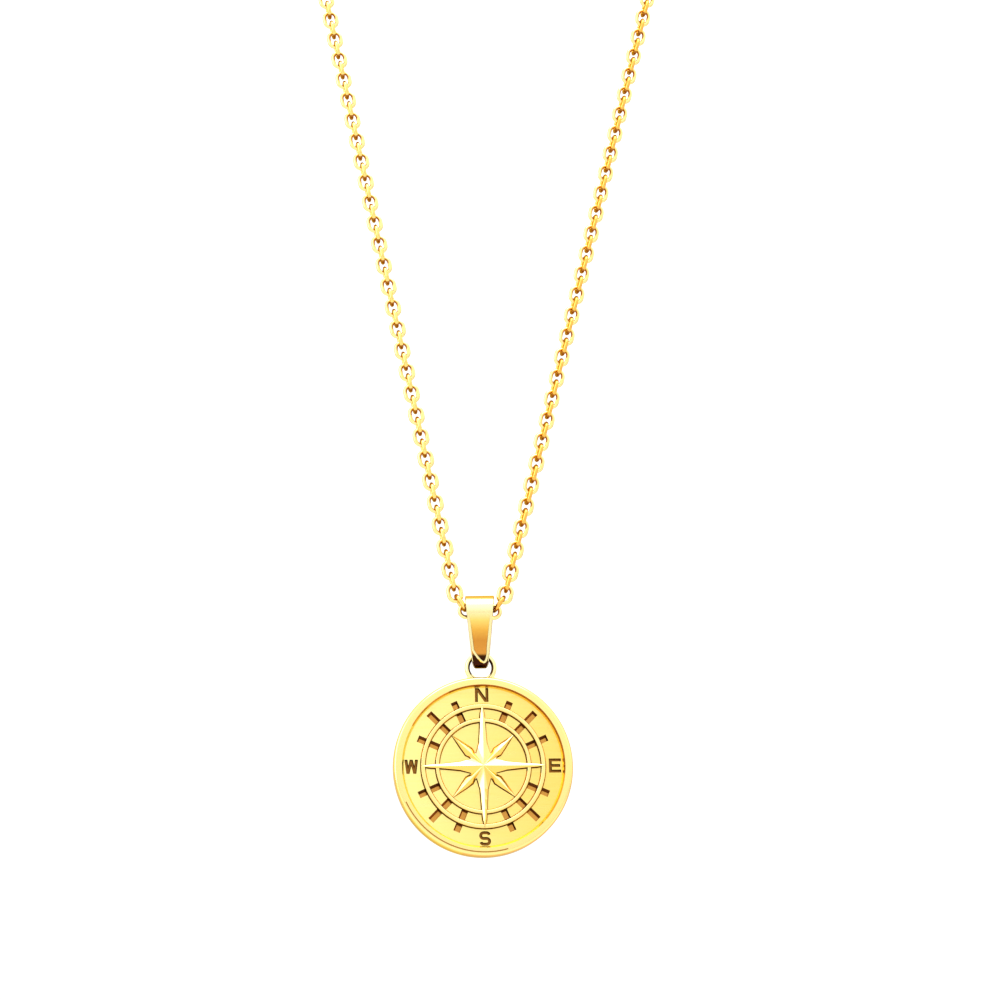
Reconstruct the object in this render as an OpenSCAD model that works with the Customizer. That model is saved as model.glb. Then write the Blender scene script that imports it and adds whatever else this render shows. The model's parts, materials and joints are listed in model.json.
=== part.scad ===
// Compass medallion on a folded bail and a fine cable chain, a closed necklace loop, in millimetres.
// The necklace hangs in the XZ plane with its front to -Y. The origin is at the nape, on the
// lower edge of the clasp, and +Z is up.

/* [Necklace] */
// Length of the whole closed loop along the chain, clasp included
loop_length = 500; // [440:10:600]
// Angle of each front strand from the vertical
strand_angle = 12.7; // [11:0.1:16]
// Share of each straight strand that is made of single links
front_share = 0.885; // [0.5:0.005:0.95]

/* [Chain] */
// Outer length of one link
link_l = 2.36; // [2.1:0.02:2.6]
// Outer width of one link
link_w = 1.88; // [1.7:0.02:2]
// Diameter of the link wire
wire_d = 0.46; // [0.34:0.02:0.5]
// Air between two links that hook each other
link_gap = 0.1; // [0.1:0.01:0.14]
// Tilt from the vertical of the link that lies just inside the mouth of the bail
inner_tilt = 86; // [80:1:90]
// Tilt from the vertical of the link that climbs out of the mouth of the bail
mouth_tilt = 34; // [30:1:44]

/* [Bail] */
// Width of the strip at its fold
bail_top_w = 3.34; // [3:0.02:3.4]
// Width of the strip where its taper ends
bail_shoulder_w = 2.2; // [2.1:0.02:2.5]
// Width of the strip round its bottom bend
bail_bend_w = 1.94; // [1.6:0.02:2]
// Thickness of the strip
bail_t = 0.55; // [0.4:0.05:0.7]
// Distance between the centres of the fold and the bottom bend
bail_drop = 5.46; // [4.5:0.02:7]
// Air between the chain and the inside of the fold
fold_play = 0.31; // [0.25:0.01:0.6]
// Air between the wire of the eye and the inside of the bottom bend
bend_play = 0.22; // [0.18:0.02:0.3]
// Turn of the bail about its own upright line, its front towards -X
bail_turn = 6; // [0:0.5:6]
// Lean of the bail on the chain, its foot towards +X
bail_lean = 1.3; // [0:0.1:3]

/* [Eye] */
// Diameter of the hole through the eye
eye_hole = 2.44; // [2.3:0.02:3]
// Thickness of the wire of the eye
eye_wire = 0.58; // [0.45:0.01:0.8]
// Air between the hole of the eye and the corners of the strip in it
eye_play = 0.12; // [0.05:0.01:0.15]
// Depth that the edge of the coin reaches into the hole of the eye
eye_seat = 0.05; // [0:0.01:0.15]

/* [Coin] */
// Diameter of the coin
coin_d = 20; // [18:0.5:26]
// Lean of the coin below the eye, its foot towards +X
coin_lean = 1.9; // [0:0.1:3]
// Thickness of the coin at its rim
coin_t = 2; // [1.6:0.1:2.6]
// Depth of the field below the top of the rim
field_depth = 0.55; // [0.4:0.05:0.8]
// Width of the rim, from the edge of the coin to the top of its inner slope
rim_w = 0.92; // [0.7:0.02:1.2]
// Width of the hollow slope from the rim down to the field
rim_slope = 0.25; // [0.2:0.05:0.4]
// Rounding of the rim's outer front edge
rim_round = 0.5; // [0.3:0.05:0.6]
// Rounding of the coin's back edge
back_round = 0.3; // [0.1:0.05:0.5]

/* [Dial] */
// Outer radius of the outer raised ring
outer_ring_r = 6.92; // [6.5:0.02:7.1]
// Width of the outer raised ring
outer_ring_w = 0.44; // [0.3:0.02:0.6]
// Outer radius of the inner raised ring
inner_ring_r = 5.3; // [4.8:0.05:5.5]
// Width of the inner raised ring
inner_ring_w = 0.38; // [0.25:0.01:0.5]
// Height of both raised rings over the field
ring_h = 0.3; // [0.2:0.05:0.4]
// Width of a tick
tick_w = 0.76; // [0.4:0.02:0.8]
// Length of the long ticks outside the outer ring
tick_long = 1.5; // [1:0.1:1.6]
// Length of the short ticks outside the outer ring
tick_short = 0.95; // [0.6:0.05:1.2]
// Angle between a long tick and the short ones beside it
tick_step = 21.4; // [18:0.2:23]
// Depth of the ticks below the field
tick_depth = 0.3; // [0.2:0.05:0.5]
// Radius from the centre of the coin to the middle of each letter
letter_r = 8; // [7.7:0.05:8.05]
// Height of the letters
letter_h = 1.58; // [1.3:0.02:1.6]
// Width of the strokes of the letters
letter_stroke = 0.33; // [0.25:0.01:0.38]
// Depth of the letters below the field
letter_depth = 0.3; // [0.2:0.05:0.5]

/* [Star] */
// Reach of the four long arms from the centre
long_reach = 6.88; // [6.4:0.02:7]
// Reach of the four short arms from the centre
short_reach = 4.98; // [4.6:0.02:5.2]
// Height of the centre of the star over the field
star_h = 0.62; // [0.5:0.02:0.8]
// Distance from the centre to the corner where two arms meet
hub_r = 1.57; // [1.3:0.01:1.8]
// Angle of that corner from the line of the long arm
hub_angle = 30; // [26:1:32]

/* [Clasp] */
// Length of the clasp
clasp_l = 10; // [8:0.5:12]
// Width of the clasp
clasp_w = 3.6; // [3:0.1:4]
// Thickness of the clasp
clasp_t = 0.76; // [0.6:0.02:0.76]
// Wall of the clasp round its holes
clasp_wall = 0.8; // [0.6:0.05:1]
// Diameter of the round hole for one end of the chain
clasp_hole = 1.5; // [1.3:0.1:1.7]

/* [Hidden] */
$fn = 48;
gold = "#e8b84a";
pale_gold = "#f2cf6b";

// Chain: an end of a link is a half ring about a centre that lies end_off from the middle of the link
end_off = (link_l - link_w) / 2;
end_r = (link_w - wire_d) / 2;
hook_off = end_r - wire_d - link_gap;
pitch = end_off + hook_off + end_off + end_r;
wire_sides = 6;

// Side outline of the bail, with its fold centred on the chain
fold_in = link_w / 2 + fold_play;
fold_out = fold_in + bail_t;
bend_in = eye_wire / 2 + bend_play;
bend_out = bend_in + bail_t;
// Share of the drop at which the taper of the strip ends
shoulder_share = 0.78;
bail_bottom = -bail_drop - bend_out;

// Eye and coin, each hung below the last along its own lean
eye_r = eye_hole / 2;
eye_ring_r = eye_r + eye_wire / 2;
eye_below_bail = bail_drop + bend_in
    + sqrt(pow(eye_r - eye_play, 2) - pow(bail_bend_w / 2 / cos(bail_turn), 2));
eye_x = eye_below_bail * sin(bail_lean);
eye_z = -eye_below_bail * cos(bail_lean);
coin_r = coin_d / 2;
eye_above_coin = coin_r + eye_r - eye_seat;
field_z = coin_t / 2 - field_depth;

// Route of the chain: the first links through the bail, a straight strand, and an arc about the nape.
// Each link is [middle, tilt], with its middle in the XZ plane, measured from the bail's hinge line
function dir(tilt) = [sin(tilt), cos(tilt)];
function step(flat_tilt, edge_tilt) = end_off * dir(flat_tilt) + (pitch - end_off) * dir(edge_tilt);
first_mid = step(inner_tilt, 90);
mouth_mid = first_mid + step(inner_tilt, mouth_tilt);
strand_mid = mouth_mid + step(strand_angle, mouth_tilt);
strand_dir = dir(strand_angle);
bend_links = 3;
half_turn_share = (90 + strand_angle) * PI / 180;
straight_l = (loop_length / 2 - bend_links * pitch - strand_mid[0] * half_turn_share / cos(strand_angle))
    / (1 + half_turn_share * tan(strand_angle));
nape_r = (strand_mid[0] + straight_l * sin(strand_angle)) / cos(strand_angle);
nape_mid_z = strand_mid[1] + straight_l * cos(strand_angle) + nape_r * sin(strand_angle);
straight_links = floor(front_share * straight_l / pitch);

// Ends of the chain at the clasp
hook_x = clasp_l / 2 - clasp_wall - wire_d / 2 - link_gap;
end_link_x = hook_x + (link_l - wire_d) / 2;
tube_end_x = end_link_x + link_l / 2 + link_gap;
tube_end_angle = asin(tube_end_x / nape_r);
clasp_up = nape_mid_z + nape_r * cos(tube_end_angle);
// Height of the bail's hinge line: the lower edge of the clasp lies at zero
pivot_z = clasp_w / 2 - clasp_up;

// Tube that stands for the hidden links: rings no further apart than this many diameters
tube_ring_step = 2.5;
tube_sides = 8;

// Small overlap that buries the foot of a raised form in the metal below it
bury = 0.1;
relief_foot = tick_depth + bury;

// Arms of the star, from the corner at the hub to the tip.
// Columns: distance from the centre and half width, as shares of the arm's reach,
// then the height of the side edge and of the ridge, as shares of star_h
LONG_ARM = [
    [0.377, 0.066, 0.52, 0.86],
    [0.550, 0.051, 0.52, 0.78],
    [0.700, 0.041, 0.52, 0.72],
    [0.870, 0.022, 0.52, 0.64]];
SHORT_ARM = [
    [0.355, 0.070, 0.34, 0.72],
    [0.450, 0.101, 0.38, 0.74],
    [0.630, 0.067, 0.32, 0.60],
    [0.800, 0.030, 0.28, 0.44]];
HUB_EDGE = 0.42;
LONG_TIP = 0.52;
SHORT_TIP = 0.26;

// Points of an arc in the plane, from one angle to another
function arc(centre, r, from, to, steps = 5) =
    [for (i = [0:steps]) centre + r * [cos(from + (to - from) * i / steps), sin(from + (to - from) * i / steps)]];

// Half section of the coin, with radius along X and height along Y, front upwards
function coin_section() = concat(
    [[0, -coin_t / 2]],
    arc([coin_r - back_round, back_round - coin_t / 2], back_round, -90, 0, 3),
    arc([coin_r - rim_round, coin_t / 2 - rim_round], rim_round, 0, 90, 5),
    [[coin_r - rim_w, coin_t / 2]],
    [for (i = [1:4]) [
        coin_r - rim_w - rim_slope * sin(22.5 * i),
        field_z + field_depth * pow(1 - sin(22.5 * i), 0.8)]],
    [[0, field_z]]);

module raised_ring(r_out, w) {
    bevel = ring_h / 5;
    rotate_extrude() polygon([
        [r_out, field_z - relief_foot],
        [r_out, field_z + ring_h - bevel],
        [r_out - bevel, field_z + ring_h],
        [r_out - w + bevel, field_z + ring_h],
        [r_out - w, field_z + ring_h - bevel],
        [r_out - w, field_z - relief_foot]]);
}

// A sunken bar along X, from one radius to another, turned to its angle
module tick(from, to, angle) {
    rotate([0, 0, angle])
        translate([from, -tick_w / 2, field_z - tick_depth])
            cube([to - from, tick_w, tick_depth + bury]);
}

module ticks() {
    for (quarter = [0:90:270], side = [-1, 0, 1]) {
        angle = quarter + 45 + side * tick_step;
        reach = side == 0 ? tick_long : tick_short;
        tick(outer_ring_r - bury, outer_ring_r + reach, angle);
        tick(inner_ring_r - bury, outer_ring_r - outer_ring_w + bury, angle);
    }
}

// Cuts for the letters, each about its own middle, standing on z = 0
module cut(points) {
    linear_extrude(height = letter_depth + bury) polygon(points);
}

module letter_n() {
    x = 0.48 * letter_h;
    y = letter_h / 2;
    slant = letter_stroke * 1.35;
    cut([[-x, -y], [letter_stroke - x, -y], [letter_stroke - x, y], [-x, y]]);
    cut([[x - letter_stroke, -y], [x, -y], [x, y], [x - letter_stroke, y]]);
    cut([[-x, y], [x - slant, -y], [x, -y], [slant - x, y]]);
}

module letter_e() {
    x = 0.43 * letter_h;
    y = letter_h / 2;
    half = letter_stroke / 2;
    cut([[-x, -y], [letter_stroke - x, -y], [letter_stroke - x, y], [-x, y]]);
    cut([[-x, y - letter_stroke], [x, y - letter_stroke], [x, y], [-x, y]]);
    cut([[-x, -half], [0.86 * x, -half], [0.86 * x, half], [-x, half]]);
    cut([[-x, -y], [x, -y], [x, letter_stroke - y], [-x, letter_stroke - y]]);
}

module letter_w() {
    x = 0.48 * letter_h;
    y = letter_h / 2;
    foot = 0.5 * x;
    slant = letter_stroke * 0.52;
    for (side = [-1, 1]) {
        cut([[side * (foot + slant), -y], [side * x, y], [side * (x - 2 * slant), y], [side * (foot - slant), -y]]);
        cut([[side * (foot - slant), -y], [side * -slant, y], [side * slant, y], [side * (foot + slant), -y]]);
    }
}

// One bend of the S: a half ring open to +X, with a straight bar above and below it
module s_bend(r, length) {
    h = letter_depth + bury;
    difference() {
        cylinder(h = h, r = r);
        translate([0, 0, -bury]) cylinder(h = h + 2 * bury, r = r - letter_stroke);
        translate([0, -2 * r, -bury]) cube([2 * r, 4 * r, h + 2 * bury]);
    }
    for (y = [-r, r - letter_stroke]) translate([-bury / 4, y, 0]) cube([length, letter_stroke, h]);
}

module letter_s() {
    r = (letter_h + letter_stroke) / 4;
    half_w = 0.41 * letter_h;
    for (turn = [0, 180]) rotate([0, 0, turn]) {
        translate([r - half_w, letter_h / 2 - r, 0]) s_bend(r, 2 * (half_w - r) + bury / 4);
        // Short end of the stroke, turned down from the bar
        translate([half_w - r, letter_h / 2 - r, 0]) difference() {
            cylinder(h = letter_depth + bury, r = r);
            translate([0, 0, -bury]) cylinder(h = letter_depth + 3 * bury, r = r - letter_stroke);
            translate([-2 * r, -2 * r, -bury]) cube([2 * r, 4 * r, letter_depth + 3 * bury]);
            translate([-bury, r * 0.3 - 2 * r, -bury]) cube([2 * r, 2 * r, letter_depth + 3 * bury]);
        }
    }
}

module letters() {
    z = field_z - letter_depth;
    translate([0, letter_r, z]) letter_n();
    translate([0, -letter_r, z]) letter_s();
    translate([letter_r, 0, z]) letter_e();
    translate([-letter_r, 0, z]) letter_w();
}

// Compass star: eight ridged arms about one centre, as one closed form
function turned(p, angle) = [p[0] * cos(angle) - p[1] * sin(angle), p[0] * sin(angle) + p[1] * cos(angle)];
function lifted(p, z) = [p[0], p[1], z];
function is_long(arm) = arm % 2 == 0;
function arm_rows(arm) = is_long(arm) ? LONG_ARM : SHORT_ARM;
function arm_reach(arm) = is_long(arm) ? long_reach : short_reach;
function arm_tip(arm) = is_long(arm) ? LONG_TIP : SHORT_TIP;
function side_point(arm, row, side) =
    lifted(turned([row[0], side * row[1]] * arm_reach(arm), 45 * arm), field_z + row[2] * star_h);
function hub_corner(arm) =
    let (angle = 45 * arm - (is_long(arm) ? hub_angle : 45 - hub_angle))
    lifted(hub_r * [cos(angle), sin(angle)], field_z + HUB_EDGE * star_h);
function arm_edge(arm) = let (rows = arm_rows(arm), last = len(rows) - 1) concat(
    [hub_corner(arm)],
    [for (row = rows) side_point(arm, row, -1)],
    [lifted(turned([arm_reach(arm), 0], 45 * arm), field_z + arm_tip(arm) * star_h)],
    [for (i = [last:-1:0]) side_point(arm, rows[i], 1)]);

module star() {
    arms = 8;
    n = len(LONG_ARM);
    m = 2 * n + 2;
    edge = [for (arm = [0:arms - 1], p = arm_edge(arm)) p];
    count = len(edge);
    foot_z = field_z - bury;
    foot = [for (p = edge) [p[0], p[1], foot_z]];
    ridge = [for (arm = [0:arms - 1], row = arm_rows(arm))
        lifted(turned([row[0] * arm_reach(arm), 0], 45 * arm), field_z + row[3] * star_h)];
    top = 2 * count + len(ridge);
    points = concat(edge, foot, ridge, [[0, 0, field_z + star_h], [0, 0, foot_z]]);
    flanks = [for (arm = [0:arms - 1])
        let (b = arm * m, g = 2 * count + arm * n, next = (b + m) % count)
        each concat(
            [[b + 1, b, top], [g, b + 1, top], [next, b + m - 1, top], [b + m - 1, g, top]],
            [for (i = [0:n - 2]) each [
                [b + 2 + i, b + 1 + i, g + i], [g + i + 1, b + 2 + i, g + i],
                [b + m - 1 - i, b + m - 2 - i, g + i], [b + m - 2 - i, g + i + 1, g + i]]],
            [[b + n + 1, b + n, g + n - 1], [b + n + 2, b + n + 1, g + n - 1]])];
    walls = [for (i = [0:count - 1]) let (j = (i + 1) % count) [i, j, count + j, count + i]];
    foot_mid = top + 1;
    floor_faces = [for (i = [0:count - 1]) [foot_mid, count + i, count + (i + 1) % count]];
    polyhedron(points, concat(flanks, walls, floor_faces));
}

// Ring soldered on the coin's edge, with a foot that fills the notch beside it
module eye() {
    foot_t = 0.6 * eye_wire;
    foot_top = eye_above_coin - 0.65 * eye_r;
    difference() {
        union() {
            translate([0, eye_above_coin, 0]) rotate_extrude() translate([eye_ring_r, 0]) circle(d = eye_wire);
            translate([0, 0, -foot_t / 2]) linear_extrude(height = foot_t) polygon([
                [-eye_ring_r - eye_wire / 2, coin_r - 2 * eye_wire],
                [eye_ring_r + eye_wire / 2, coin_r - 2 * eye_wire],
                [eye_ring_r - 0.1 * eye_wire, foot_top],
                [0.1 * eye_wire - eye_ring_r, foot_top]]);
        }
        translate([0, eye_above_coin, -coin_t]) cylinder(h = 2 * coin_t, r = eye_r);
    }
}

module medallion() color(gold) translate([eye_x, 0, pivot_z + eye_z]) rotate([90, -coin_lean, 0])
        translate([0, -eye_above_coin, 0]) {
    difference() {
        rotate_extrude() polygon(coin_section());
        ticks();
        letters();
    }
    raised_ring(outer_ring_r, outer_ring_w);
    raised_ring(inner_ring_r, inner_ring_w);
    star();
    eye();
}

// Solid between two round ends in the YZ plane and their common tangents, as wide as w along X
module drop_form(top_r, bottom_r, w) {
    lean = asin((top_r - bottom_r) / bail_drop);
    side = [cos(lean), -sin(lean)];
    a = top_r * side;
    b = bottom_r * side - [0, bail_drop];
    rotate([90, 0, 90]) {
        translate([0, 0, -w / 2]) cylinder(h = w, r = top_r);
        translate([0, -bail_drop, -w / 2]) cylinder(h = w, r = bottom_r);
        translate([0, 0, -w / 2]) linear_extrude(height = w) polygon([a, b, [-b[0], b[1]], [-a[0], a[1]]]);
    }
}

module bail() color(pale_gold) translate([0, 0, pivot_z]) rotate([0, -bail_lean, 0]) rotate([0, 0, -bail_turn]) {
    half = [
        [bail_top_w / 2, fold_out + bury],
        [bail_shoulder_w / 2, -shoulder_share * bail_drop],
        [bail_bend_w / 2, -bail_drop],
        [bail_bend_w / 2, bail_bottom - bury]];
    last = len(half) - 1;
    intersection() {
        difference() {
            drop_form(fold_out, bend_out, bail_top_w);
            drop_form(fold_in, bend_in, bail_top_w + 2 * bury);
        }
        rotate([90, 0, 0]) translate([0, 0, -2 * fold_out]) linear_extrude(height = 4 * fold_out)
            polygon(concat(half, [for (i = [last:-1:0]) [-half[i][0], half[i][1]]]));
    }
}

module wire_section() circle(d = wire_d, $fn = wire_sides);

// One link of wire about its middle, standing along Z, its loop in the XZ plane
module link() {
    rotate([90, 0, 0]) {
        for (side = [0, 180]) rotate([0, 0, side]) {
            translate([0, end_off, 0]) rotate_extrude(angle = 180) translate([end_r, 0]) wire_section();
            translate([end_r, 0, 0]) rotate([90, 0, 0])
                linear_extrude(height = 2 * end_off, center = true) wire_section();
        }
    }
}

// A link set at a point of the XZ plane with a tilt, flat to the front or turned edge-on
module set_link(middle, tilt, edge_on) {
    translate([middle[0], 0, middle[1]]) rotate([0, tilt, 0]) rotate([0, 0, edge_on ? 90 : 0]) link();
}

module strand_links() {
    set_link(first_mid, inner_tilt, false);
    set_link(mouth_mid, mouth_tilt, true);
    for (i = [0:straight_links]) set_link(strand_mid + i * pitch * strand_dir, strand_angle, i % 2 == 1);
}

module chain_front() color(gold) translate([0, 0, pivot_z]) {
    set_link([0, 0], 90, true);
    strand_links();
    mirror([1, 0, 0]) strand_links();
}

// Middle line of the hidden stretch on the +X side: rows of [point, tilt]
hidden_start = strand_mid + (straight_links * pitch + link_l / 2 + link_gap) * strand_dir;
hidden_turn = 90 + strand_angle - tube_end_angle;
hidden_rings = ceil(hidden_turn * PI / 180 * nape_r / (tube_ring_step * link_w));
hidden_route = concat(
    [[hidden_start, strand_angle]],
    [for (i = [0:hidden_rings]) let (turn = -strand_angle + hidden_turn * i / hidden_rings)
        [[nape_r * cos(turn), nape_mid_z + nape_r * sin(turn)], -turn]]);

module hidden_tube() {
    r = link_w / 2;
    rings = len(hidden_route);
    points = [for (row = hidden_route, i = [0:tube_sides - 1])
        let (a = 360 / tube_sides * (i + 0.5), out = r * cos(a))
        [row[0][0] + out * cos(row[1]), r * sin(a), row[0][1] - out * sin(row[1])]];
    sides = [for (k = [0:rings - 2], i = [0:tube_sides - 1])
        let (j = (i + 1) % tube_sides, b = k * tube_sides)
        [b + i, b + j, b + tube_sides + j, b + tube_sides + i]];
    polyhedron(points, concat(
        sides,
        [[for (i = [tube_sides - 1:-1:0]) i]],
        [[for (i = [0:tube_sides - 1]) (rings - 1) * tube_sides + i]]));
}

module chain_back() color(gold) translate([0, 0, pivot_z]) for (side = [0, 1]) mirror([side, 0, 0]) {
    hidden_tube();
    set_link([end_link_x, clasp_up], 90, true);
}

module clasp() color(gold) translate([0, 0, pivot_z + clasp_up]) rotate([90, 0, 0]) difference() {
    round_x = (clasp_l - clasp_w) / 2;
    hole_x = clasp_l / 2 - clasp_wall - clasp_hole / 2;
    slot_r = clasp_w / 2 - clasp_wall;
    slot_from = clasp_wall + slot_r - clasp_l / 2;
    slot_l = clasp_l - 3 * clasp_wall - 2 * slot_r - clasp_hole;
    union() {
        for (x = [-round_x, round_x]) translate([x, 0, 0]) cylinder(h = clasp_t, d = clasp_w, center = true);
        cube([2 * round_x, clasp_w, clasp_t], center = true);
    }
    translate([hole_x, 0, 0]) cylinder(h = 2 * clasp_t, d = clasp_hole, center = true);
    for (x = [slot_from, slot_from + slot_l])
        translate([x, 0, 0]) cylinder(h = 2 * clasp_t, r = slot_r, center = true);
    translate([slot_from, -slot_r, -clasp_t]) cube([slot_l, 2 * slot_r, 2 * clasp_t]);
}

medallion();
bail();
chain_front();
chain_back();
clasp();
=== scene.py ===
import json
import math
import bpy
from mathutils import Matrix, Vector


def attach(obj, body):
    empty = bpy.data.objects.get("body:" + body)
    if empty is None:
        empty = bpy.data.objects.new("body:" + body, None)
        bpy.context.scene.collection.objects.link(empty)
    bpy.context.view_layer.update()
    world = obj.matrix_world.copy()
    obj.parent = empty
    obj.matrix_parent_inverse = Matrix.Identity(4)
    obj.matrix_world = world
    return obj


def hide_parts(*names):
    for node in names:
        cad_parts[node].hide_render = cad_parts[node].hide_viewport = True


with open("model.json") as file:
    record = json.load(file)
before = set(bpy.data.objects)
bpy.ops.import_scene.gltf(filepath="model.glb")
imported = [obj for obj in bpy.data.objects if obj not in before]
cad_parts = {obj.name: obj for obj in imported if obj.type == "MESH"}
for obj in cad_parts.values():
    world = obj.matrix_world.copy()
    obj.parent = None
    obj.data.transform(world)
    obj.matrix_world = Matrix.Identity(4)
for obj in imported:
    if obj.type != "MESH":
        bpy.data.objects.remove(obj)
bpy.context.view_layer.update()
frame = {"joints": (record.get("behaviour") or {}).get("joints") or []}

# Lengths of the pieces are in millimetres and become metres in the finished mesh
MM = 0.001
# A wall starts this much below the face that it rises from
HAIR = 0.01
# Angles from which an edge is shown as sharp
SHARP = 32
LINK_SHARP = 60

# Coin
COIN_R = 10.0
COIN_T = 2.0
FIELD_DEPTH = 0.55
FIELD_Z = COIN_T / 2 - FIELD_DEPTH
RIM_W = 0.92
RIM_SLOPE = 0.25
RIM_ROUND = 0.4
BACK_ROUND = 0.3
# Flat band beside each rounding
EDGE_BAND = 0.04
# Line along the outer edge of the rim's flat top, painted dark as shade at the lower left
LINE_R = 9.6
LINE_W = 0.13
# Inner slope of the rim: its lip on the flat top, its steps, how many of them are steep, its fullness
COVE_LIP = 0.03
COVE_STEPS = 8
COVE_STEEP = 3
COVE_POWER = 0.8
COIN_SEGMENTS = 192
RIM_SWEEP = 88
RIM_STEPS = 8
BACK_STEPS = 6
COIN_LEAN = 1.9

# Dial
RINGS = ((6.92, 0.44), (5.3, 0.38))
RING_H = 0.3
RING_DRAFT = 0.11
RING_BEVEL = RING_H / 5
# The rounding of the bevel starts at this angle
RING_ARC = 20
RING_ARC_STEPS = 3
TICK_W = 0.76
TICK_LONG = 1.5
TICK_SHORT = 0.95
TICK_STEP = 21.4
TICK_DRAFT = 0.04
TICK_SLOPE = 0.3
CUT_DEPTH = 0.3
LETTER_R = 8.0
LETTER_H = 1.58
LETTER_STROKE = 0.33
LETTER_SLOPE = 0.07
BURY = 0.1

# Letters: half widths as shares of LETTER_H, widths of strokes as shares of LETTER_STROKE
N_HALF = 0.48
N_SLANT = 1.35
E_HALF = 0.43
W_HALF = 0.48
W_STROKE = 0.52
S_HALF = 0.41
# Length of the E's middle bar as a share of its half width
E_BAR = 0.86
# Angles at which the S ends and at which its bend runs into the middle bar, and the steps up to each
S_END = 15
S_TURN = 262
S_END_STEPS = 6
S_TURN_STEPS = 14

# Star. The arms' rows are the distance and half width as shares of the reach, then the height
# of the side edge and of the ridge as shares of STAR_H
ARMS = 8
ARM_ANGLE = 360 // ARMS
LONG_REACH = 6.88
SHORT_REACH = 4.98
STAR_H = 0.62
STAR_DRAFT = 0.12
HUB_R = 1.57
HUB_ANGLE = 30
HUB_EDGE = 0.42
UPRIGHT_ARM = (
    (0.377, 0.058, 0.54, 0.98),
    (0.550, 0.047, 0.56, 0.94),
    (0.700, 0.039, 0.58, 0.90),
    (0.870, 0.026, 0.60, 0.84))
LEVEL_ARM = (
    (0.377, 0.064, 0.46, 0.80),
    (0.550, 0.046, 0.50, 0.76),
    (0.700, 0.032, 0.53, 0.74),
    (0.870, 0.023, 0.56, 0.72))
SHORT_ARM = (
    (0.355, 0.070, 0.30, 0.68),
    (0.450, 0.101, 0.34, 0.74),
    (0.630, 0.067, 0.30, 0.60),
    (0.800, 0.030, 0.28, 0.44))
LONG_TIP = 0.60
SHORT_TIP = 0.26

# Eye ring, above the coin's centre
EYE_R = 1.22
EYE_WIRE = 0.58
EYE_SEAT = 0.05
EYE_ABOVE_COIN = COIN_R + EYE_R - EYE_SEAT
EYE_SEGMENTS = 72
EYE_SIDES = 24
# Sides of the ring's wire that face its hole, painted dark as shade; the rest is painted pale as
# highlight
EYE_INNER = range(7, 17)
# The ring's foot: its top as a share of EYE_R below the eye's centre, the rest as shares of EYE_WIRE
FOOT_TOP = 0.65
FOOT_DEPTH = 2
FOOT_TAPER = 0.6
FOOT_HALF_T = 0.43

# Bail, below its hinge line
BAIL_TOP_W = 3.34
BAIL_SHOULDER_W = 2.2
BAIL_BEND_W = 1.94
BAIL_T = 0.55
BAIL_DROP = 5.46
FOLD_OUT = 1.8
BEND_OUT = 1.06
SHOULDER_SHARE = 0.78
BAIL_TURN = 6.0
BAIL_LEAN = 1.3
# Angle between a leaf of the bail and its middle line
LEAF_LEAN = math.degrees(math.asin((FOLD_OUT - BEND_OUT) / BAIL_DROP))
BAIL_BEVEL = 0.08
FOLD_STEPS = 24
BEND_STEPS = 18
LEAF_STEPS = 8
# A face of the strip gets the front's painted gradient, or the underside's painted dark reflection,
# where its outward direction is below these
FRONT_LIMIT = 0.3
UNDER_LIMIT = -0.5
# Raised tongue on the front of the bail: rows of height and half width, then the height of its tip
TONGUE = ((0.0, 1.50), (-0.56, 1.42), (-2.3, 1.20), (-4.3, 0.96))
TONGUE_TIP = -5.78
# The tip's lowest point leans towards +X
TIP_LEAN = 0.28
TIP_STEPS = 16
TONGUE_RISE = 0.16
TONGUE_RIM = 0.22
TONGUE_FOOT = 0.3
PANEL_DEPTH = 0.3
PANEL_DRAFT = 0.05
PANEL_DRAFT_H = 0.3
PANEL_CUT = 1
# Share by which the strip narrows to the lowest point of its bend
UNDER_TAPER = 0.35

# Chain
LINK_L = 2.36
LINK_W = 1.88
WIRE_R = 0.23
LINK_GAP = 0.1
LINK_STEPS = 12
WIRE_SIDES = 8
# Share of half a link beyond which an edge-on link is painted dark, as shade where its neighbour hooks
# it
HOOK_SHARE = 0.62
PITCH = LINK_L - 4 * WIRE_R - LINK_GAP
END_OFF = (LINK_L - LINK_W) / 2
END_R = LINK_W / 2 - WIRE_R
STRAND_ANGLE = 12.7
INNER_TILT = 86
MOUTH_TILT = 34
LOOP_LENGTH = 500.0
FRONT_LINKS = 114
# The links round the nape sit this much further in than the middle line
NAPE_INSET = 0.07
BEND_LINKS = 3
# Twist of the links of the +X strand about their own line, and the links over which it sets in
STRAND_TWIST = 10
TWIST_LINKS = 6

# Clasp
CLASP_L = 10.0
CLASP_W = 3.6
CLASP_T = 0.76
CLASP_WALL = 0.8
CLASP_HOLE = 1.5
CLASP_BEVEL = 0.12
CLASP_STEPS = 20
SLOT_STEPS = 16
HOLE_POINTS = 36

# Places from the frame: the bail's hinge line and the eye's centre, which is the medallion's hinge
joints = {j["name"]: j for j in frame["joints"]}
PIVOT = Vector(joints["bail_swing"]["pos_m"])
EYE = Vector(joints["medallion_swing"]["pos_m"])


def turn_by(degrees, axis):
    return Matrix.Rotation(math.radians(degrees), 4, axis)


BAIL_PLACE = turn_by(-BAIL_LEAN, "Y") @ turn_by(-BAIL_TURN, "Z")
# The dial is drawn in the XY plane with its front to +Z, then stood up with its front to -Y
STAND_UP = turn_by(-COIN_LEAN, "Y") @ turn_by(90, "X")
COIN = EYE + STAND_UP @ Vector((0, -EYE_ABOVE_COIN * MM, 0))


def new_object(name, verts, faces, materials=(), face_material=None):
    mesh = bpy.data.meshes.new(name)
    mesh.from_pydata([tuple(v) for v in verts], [], faces)
    for material in materials:
        mesh.materials.append(material)
    if face_material:
        mesh.polygons.foreach_set("material_index", face_material)
    obj = bpy.data.objects.new(name, mesh)
    bpy.context.scene.collection.objects.link(obj)
    return obj


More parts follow.
